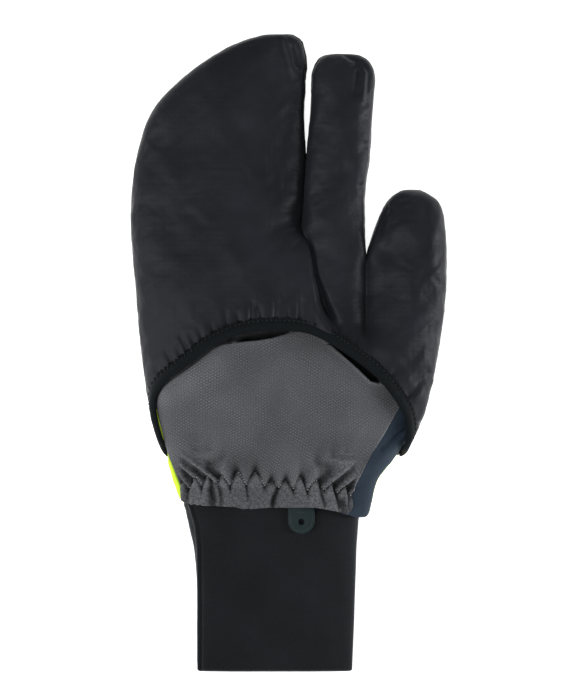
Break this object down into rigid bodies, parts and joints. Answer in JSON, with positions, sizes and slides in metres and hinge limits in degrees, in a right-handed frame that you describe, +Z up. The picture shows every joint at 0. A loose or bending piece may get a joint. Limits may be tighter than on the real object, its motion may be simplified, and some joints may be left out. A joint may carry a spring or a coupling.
{
  "type": "winter cycling glove with a mitten cover",
  "caption": "Right-hand winter cycling glove lying palm up, with a windproof mitten cover over its fingers, a gathered palm and a long knit cuff.",
  "frame": {"origin": "on the surface that the glove lies on, below the middle of its outline", "axes": "+Y from the cuff to the fingertips, +X towards the thumb, +Z up out of the palm"},
  "size_m": [0.1422, 0.2874, 0.0282],
  "materials": {
    "cover_nylon": "black coated nylon, faint sheen",
    "binding_elastic": "black woven elastic, matte",
    "palm_synthetic": "grey dotted synthetic palm, matte",
    "back_softshell": "neon yellow softshell, matte",
    "side_softshell": "navy softshell, matte",
    "cuff_knit": "black stretch knit, matte",
    "tab_rubber": "dark teal rubberised tab, matte"
  },
  "bodies": {
    "root": {"cover_palm": "cover_nylon", "cover_back": "cover_nylon", "cover_binding": "binding_elastic", "palm_panel": "palm_synthetic", "back_panel": "back_softshell", "side_gusset": "side_softshell", "wrist_cuff": "cuff_knit", "pull_tab": "tab_rubber"}
  },
  "joints": []
}
